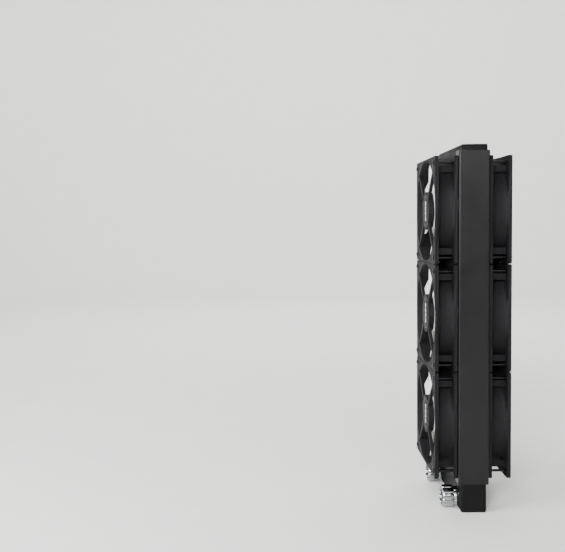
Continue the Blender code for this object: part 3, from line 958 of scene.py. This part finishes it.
square_block = drawn(rounded_square(fan_half, fan_corner, 0), (fan_depth, 0, 0))
solid_frame = softened(square_block, "fan_frame", frame_edge, 2, 60)
flare = [
    (0, flare_radius),
    (0.0007, 0.0611),
    (0.0016, 0.0600),
    (0.0026, 0.0593),
    (0.0034, duct_outer),
]
waist = turned(
    [
        (fan_flange, past_corners),
        *[(fan_flange + depth, radius) for depth, radius in flare],
        *[(fan_depth - fan_flange - depth, radius) for depth, radius in reversed(flare)],
        (fan_depth - fan_flange, past_corners),
    ],
    128,
    closed=True,
)
mouth = [(0, mouth_radius), (0.0006, 0.0583), (0.0016, duct_radius)]
throat = turned(
    [
        (-sheet, 0),
        (-sheet, mouth_radius + throat_lip),
        *mouth,
        *[(fan_depth - depth, radius) for depth, radius in reversed(mouth)],
        (fan_depth + sheet, mouth_radius + throat_lip),
        (fan_depth + sheet, 0),
    ],
    128,
)
screw_holes = [
    rod(-sheet, fan_depth + sheet, screw_hole, y * screw_pitch / 2, z * screw_pitch / 2)
    for y in (-1, 1)
    for z in (-1, 1)
]
shell_of_frame = combined(solid_frame, "fan_frame", "DIFFERENCE", [waist, throat, *screw_holes])
label_radius = mount_radius - label_margin
motor_mount = turned(
    [
        (label_recess, 0),
        (label_recess, label_radius + 0.0001),
        (0.0002, label_radius + 0.0002),
        (0, label_radius + mount_bevel),
        (0, mount_radius - mount_bevel),
        (0.0002, mount_radius - 0.0001),
        (mount_bevel, mount_radius),
        (rim_end - 0.0002, mount_radius),
        (rim_end, mount_radius - 0.0002),
        (rim_end, mount_radius - rim_wall),
        (mount_depth, mount_radius - rim_wall),
        (mount_depth, bearing_radius),
        (bearing_end, bearing_radius),
        (bearing_end, shaft_bore),
        (mount_depth, shaft_bore),
        (mount_depth, 0),
    ],
    96,
)
braces = [corner_brace(y, z) for y in (-1, 1) for z in (-1, 1)]
arms = [fan_arm(index) for index in range(4)]
fan_frame = combined(shell_of_frame, "fan_frame", "UNION", [*braces, *arms, motor_mount])
fan_frame.shade_smooth()
fan_frame.set_sharp_from_angle(angle=radians(28))

fan_places = {}
for side in ("left", "right"):
    for row in fan_rows:
        low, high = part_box(f"fan_frame_{side}_{row}")
        fan_places[f"{side}_{row}"] = (low.x, (low.y + high.y) / 2, (low.z + high.z) / 2)
for fan, at in fan_places.items():
    fit(
        f"fan_frame_{fan}_moulded",
        fan_frame,
        frame_plastic,
        at=at,
        replaces=[f"fan_frame_{fan}"],
    )


# Fan motor labels
# A printed vinyl disc is stuck in each motor mount's shallow recess: black, with a thin grey ring
# near its edge and four plain white blocks in a row. It carries no lettering.

# Screen-printed vinyl: flatter and darker than the plastic round it.
label_black, vinyl_tree, vinyl_shader = new_material(
    "Black label vinyl", {"Roughness": 0.5, "Specular IOR Level": 0.05}
)
vinyl_place = add_node(vinyl_tree, "ShaderNodeTexCoord")
vinyl_grain = add_node(
    vinyl_tree,
    "ShaderNodeTexNoise",
    {"Scale": 700.0, "Detail": 2.0},
    {"Vector": vinyl_place.outputs["Object"]},
)
vinyl_tone = add_node(vinyl_tree, "ShaderNodeValToRGB", {}, {"Fac": vinyl_grain.outputs["Fac"]})
vinyl_tone.color_ramp.elements[0].color = linear("#0d0d0e")
vinyl_tone.color_ramp.elements[1].color = linear("#151516")
vinyl_tree.links.new(vinyl_tone.outputs["Color"], vinyl_shader.inputs["Base Color"])

# Silver print ink: fine aluminium flake in a smoky lacquer, so the ring is a dark grey that
# sparkles softly.
silver_ink, ink_tree, ink_shader = new_material("Silver print ink", {"Metallic": 0.9})
ink_place = add_node(ink_tree, "ShaderNodeTexCoord")
ink_flake = add_node(
    ink_tree,
    "ShaderNodeTexNoise",
    {"Scale": 3000.0, "Detail": 1.0},
    {"Vector": ink_place.outputs["Object"]},
)
ink_gloss = add_node(
    ink_tree,
    "ShaderNodeMapRange",
    {"To Min": 0.25, "To Max": 0.45},
    {"Value": ink_flake.outputs["Fac"]},
)
ink_tone = add_node(ink_tree, "ShaderNodeValToRGB", {}, {"Fac": ink_flake.outputs["Fac"]})
ink_tone.color_ramp.elements[0].color = linear("#2a2b2d")
ink_tone.color_ramp.elements[1].color = linear("#3d3e41")
ink_tree.links.new(ink_gloss.outputs["Result"], ink_shader.inputs["Roughness"])
ink_tree.links.new(ink_tone.outputs["Color"], ink_shader.inputs["Base Color"])

# White print ink: flat and chalky, a little thin where the screen's mesh shows in it.
white_ink, white_tree, white_shader = new_material("White print ink", {"Roughness": 0.6})
white_place = add_node(white_tree, "ShaderNodeTexCoord")
white_mesh = add_node(
    white_tree,
    "ShaderNodeTexNoise",
    {"Scale": 2500.0, "Detail": 1.0},
    {"Vector": white_place.outputs["Object"]},
)
white_tone = add_node(white_tree, "ShaderNodeValToRGB", {}, {"Fac": white_mesh.outputs["Fac"]})
white_tone.color_ramp.elements[0].color = linear("#cfcfcd")
white_tone.color_ramp.elements[1].color = linear("#efefed")
white_tree.links.new(white_tone.outputs["Color"], white_shader.inputs["Base Color"])

vinyl_thickness = 0.00012
ink_thickness = 0.00004
label_face = label_recess - vinyl_thickness
label_disc = turned(
    [
        (label_recess, 0),
        (label_recess, label_radius),
        (label_face + 0.00002, label_radius),
        (label_face, label_radius - 0.00005),
        (label_face, 0),
    ],
    96,
    "label_disc",
)
ink_face = label_face - ink_thickness
ring_radius = 0.0172
ring_width = 0.0004
label_ring = turned(
    [
        (label_face, ring_radius),
        (label_face, ring_radius + ring_width),
        (ink_face, ring_radius + ring_width),
        (ink_face, ring_radius),
    ],
    96,
    "label_ring",
    True,
)
mark_length, mark_gap, mark_width = 0.0047, 0.0012, 0.0036
mark_count = 4
mark_edge = 0.00001
label_marks = bpy.data.meshes.new("label_marks")
bm = bmesh.new()
for place in range(mark_count):
    start = (place - mark_count / 2) * (mark_length + mark_gap) + mark_gap / 2
    low_corner = (ink_face, -mark_width / 2, start)
    high_corner = (label_face, mark_width / 2, start + mark_length)
    bm.from_mesh(softened(block(low_corner, high_corner), "mark", mark_edge, 1))
bm.to_mesh(label_marks)
bm.free()
for fan, at in fan_places.items():
    fit(f"label_{fan}", label_disc, label_black, at=at)
    fit(f"label_ring_{fan}", label_ring, silver_ink, at=at)
    fit(f"label_marks_{fan}", label_marks, white_ink, at=at)


# Motor stators
# A stack of steel plates with four poles, each wound with enamelled copper wire, pressed over
# the bearing tube. The rotor's hub covers it.

# Enamelled wire, 0.3 mm thick, laid side by side: coppery red with a lacquer shine. The colour
# darkens in the grooves between the turns, which is painted shade.
wound_copper, copper_tree, copper_shader = new_material(
    "Enamelled copper wire", {"Metallic": 0.85, "Roughness": 0.3}
)
copper_place = add_node(copper_tree, "ShaderNodeTexCoord")
copper_turns = add_node(
    copper_tree,
    "ShaderNodeTexWave",
    {"wave_type": "BANDS", "bands_direction": "X", "Scale": 1050.0, "Distortion": 0.4},
    {"Vector": copper_place.outputs["Object"]},
)
# Painted shade: the bands that sink between the turns are coloured dark, the crests light.
copper_and_groove_shade = add_node(
    copper_tree, "ShaderNodeValToRGB", {}, {"Fac": copper_turns.outputs["Color"]}
)
copper_and_groove_shade.color_ramp.elements[0].color = linear("#5a2b14")
copper_and_groove_shade.color_ramp.elements[1].color = linear("#b5673a")
copper_bump = add_node(
    copper_tree,
    "ShaderNodeBump",
    {"Strength": 0.6, "Distance": 0.0001},
    {"Height": copper_turns.outputs["Color"]},
)
copper_tree.links.new(copper_and_groove_shade.outputs["Color"], copper_shader.inputs["Base Color"])
copper_tree.links.new(copper_bump.outputs["Normal"], copper_shader.inputs["Normal"])
for fan in fan_places:
    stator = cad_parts[f"fan_stator_{fan}"]
    stator.data.materials.clear()
    stator.data.materials.append(wound_copper)


# Fan rotors
# The hub cup and its seven swept blades are moulded together in white PBT, round a steel
# magnet ring and the shaft. Thin blades let a little light through.

# White PBT: bright and slightly milky, with a soft moulded gloss and faint flow marks.
blade_plastic, blade_tree, blade_shader = new_material(
    "Moulded white PBT",
    {
        "IOR": 1.5,
        "Subsurface Weight": 0.18,
        "Subsurface Radius": (0.004, 0.004, 0.0035),
        "Subsurface Scale": 1.0,
    },
)
blade_place = add_node(blade_tree, "ShaderNodeTexCoord")
blade_flow = add_node(
    blade_tree,
    "ShaderNodeTexNoise",
    {"Scale": 60.0, "Detail": 4.0, "Distortion": 1.2},
    {"Vector": blade_place.outputs["Object"]},
)
blade_tone = add_node(blade_tree, "ShaderNodeValToRGB", {}, {"Fac": blade_flow.outputs["Fac"]})
blade_tone.color_ramp.elements[0].color = linear("#e3e3e0")
blade_tone.color_ramp.elements[1].color = linear("#efefed")
blade_gloss = add_node(
    blade_tree,
    "ShaderNodeMapRange",
    {"To Min": 0.28, "To Max": 0.42},
    {"Value": blade_flow.outputs["Fac"]},
)
blade_bump = add_node(
    blade_tree,
    "ShaderNodeBump",
    {"Strength": 0.06, "Distance": 0.0001},
    {"Height": blade_flow.outputs["Fac"]},
)
blade_tree.links.new(blade_tone.outputs["Color"], blade_shader.inputs["Base Color"])
blade_tree.links.new(blade_gloss.outputs["Result"], blade_shader.inputs["Roughness"])
blade_tree.links.new(blade_bump.outputs["Normal"], blade_shader.inputs["Normal"])

blade_count = 7
blade_tip = 0.0563
blade_thickness = 0.0013
blade_start = 0.0073
blade_axial = 0.0138
blade_phase = radians(30)
blade_root_angle = radians(46)
blade_tip_angle = radians(43)
blade_sweep = radians(14)
blade_camber = radians(5)
blade_overlap = 0.0012
hub_radius = 0.0215
hub_wall = 0.0045
hub_start = 0.0070
shaft_start = 0.0042
hub_end = 0.0228
hub_cap = 0.0025
hub_round = 0.0018
hub_dish = 0.0003
shaft_radius = 0.0015


def blade(index):
    """One blade: a curved sheet whose leading edge is ahead in the turn, thickened and rounded."""
    root = hub_radius - blade_overlap
    bm = bmesh.new()
    bmesh.ops.create_grid(bm, x_segments=8, y_segments=8, size=0.5)
    for vert in bm.verts:
        chord, span = vert.co.x + 0.5, vert.co.y + 0.5
        radius = root + (blade_tip - root) * span
        width = blade_root_angle + (blade_tip_angle - blade_root_angle) * span
        angle = (chord - 0.5) * width + blade_sweep * span**2
        angle += blade_camber * 4 * chord * (1 - chord)
        angle += blade_phase + 2 * pi * index / blade_count
        x = blade_start + blade_axial * chord
        vert.co = (x, radius * cos(angle), radius * sin(angle))
    sheet_of_blade = bpy.data.meshes.new("blade")
    bm.to_mesh(sheet_of_blade)
    bm.free()
    made = worked(
        sheet_of_blade,
        "blade",
        ("SOLIDIFY", {"thickness": blade_thickness, "offset": 0, "edge_crease_rim": 0.35}),
        ("SUBSURF", {"levels": 1, "render_levels": 1}),
    )
    bm = bmesh.new()
    bm.from_mesh(made)
    return new_mesh(bm, "blade", radians(60))


hub_profile = [
    (shaft_start, 0),
    (shaft_start, shaft_radius),
    (hub_end - hub_cap, shaft_radius),
    (hub_end - hub_cap, hub_radius - hub_wall),
    (hub_start, hub_radius - hub_wall),
    (hub_start, hub_radius - 0.0003),
    (hub_start + 0.0003, hub_radius),
]
hub_profile += reversed(
    arc((hub_end - hub_round, hub_radius - hub_round), hub_round, 0, 90, 6)
)
hub_profile += [
    (hub_end, hub_radius - 0.0042),
    (hub_end - hub_dish, hub_radius - 0.0046),
    (hub_end - hub_dish, 0),
]
rotor = combined(
    turned(hub_profile, 96, "fan_rotor"),
    "fan_rotor",
    "UNION",
    [blade(index) for index in range(blade_count)],
)
rotor.shade_smooth()
rotor.set_sharp_from_angle(angle=radians(40))
for fan, at in fan_places.items():
    fit(
        f"fan_rotor_{fan}_moulded",
        rotor,
        blade_plastic,
        f"rotor_{fan}",
        at=at,
        replaces=[f"fan_rotor_{fan}"],
    )


# Fan screws
# Cross-head pan screws, 27.5 mm long, in blackened steel. Four hold each fan: they pass through
# both of its flanges, outside the braces, into the tapped flanges of the side panels.

# Blackened and oiled steel: dark, but still metal, so its edges catch the light.
black_steel, steel_tree, steel_shader = new_material("Blackened steel", {"Metallic": 1.0})
steel_place = add_node(steel_tree, "ShaderNodeTexCoord")
steel_stain = add_node(
    steel_tree,
    "ShaderNodeTexNoise",
    {"Scale": 900.0, "Detail": 3.0},
    {"Vector": steel_place.outputs["Object"]},
)
steel_tone = add_node(steel_tree, "ShaderNodeValToRGB", {}, {"Fac": steel_stain.outputs["Fac"]})
steel_tone.color_ramp.elements[0].color = linear("#1f1f21")
steel_tone.color_ramp.elements[1].color = linear("#2e2e31")
steel_gloss = add_node(
    steel_tree,
    "ShaderNodeMapRange",
    {"To Min": 0.22, "To Max": 0.4},
    {"Value": steel_stain.outputs["Fac"]},
)
steel_tree.links.new(steel_tone.outputs["Color"], steel_shader.inputs["Base Color"])
steel_tree.links.new(steel_gloss.outputs["Result"], steel_shader.inputs["Roughness"])

head_radius = 0.0028
head_height = 0.0017
screw_length = 0.0275
screw_radius = 0.00145
screw_thread_pitch = 0.0005
screw_thread_depth = 0.0003
screw_thread_start = 0.0195
plain_tip = 0.001
tip_chamfer, tip_radius = 0.0008, 0.0009
cross_reach, cross_half_width, cross_depth = 0.0016, 0.00035, 0.0009
screw_profile = [
    (-head_height, 0),
    (-head_height, 0.0012),
    (-head_height * 0.93, 0.0019),
    (-head_height * 0.7, 0.0025),
    (-head_height * 0.35, head_radius),
    (0, head_radius),
    (0, screw_radius),
]
threaded = screw_length - screw_thread_start - plain_tip
for turn in range(int(threaded / screw_thread_pitch)):
    crest = screw_thread_start + turn * screw_thread_pitch
    screw_profile += [
        (crest, screw_radius),
        (crest + screw_thread_pitch / 2, screw_radius - screw_thread_depth),
    ]
screw_profile += [
    (screw_length - tip_chamfer, screw_radius),
    (screw_length, tip_radius),
    (screw_length, 0),
]
recess_arms = []
for quarter in (0, 1):
    recess_arm = block(
        (-head_height - sheet, -cross_reach, -cross_half_width),
        (-head_height + cross_depth, cross_reach, cross_half_width),
    )
    recess_arm.transform(Matrix.Rotation(pi / 4 + quarter * pi / 2, 4, "X"))
    recess_arms.append(recess_arm)
screw = combined(turned(screw_profile, 24, "fan_screw"), "fan_screw", "DIFFERENCE", recess_arms)
screw.shade_smooth()
screw.set_sharp_from_angle(angle=radians(35))
for fan, (fan_x, fan_y, fan_z) in fan_places.items():
    on_left = fan.startswith("left")
    for corner, (y, z) in enumerate(((-1, -1), (-1, 1), (1, -1), (1, 1)), 1):
        head_x = fan_x if on_left else fan_x + fan_depth
        at = (head_x, fan_y + y * screw_pitch / 2, fan_z + z * screw_pitch / 2)
        fastener = fit(f"fan_screw_{fan}_{corner}", screw, black_steel, at=at)
        if not on_left:
            fastener.rotation_euler = (0, 0, pi)
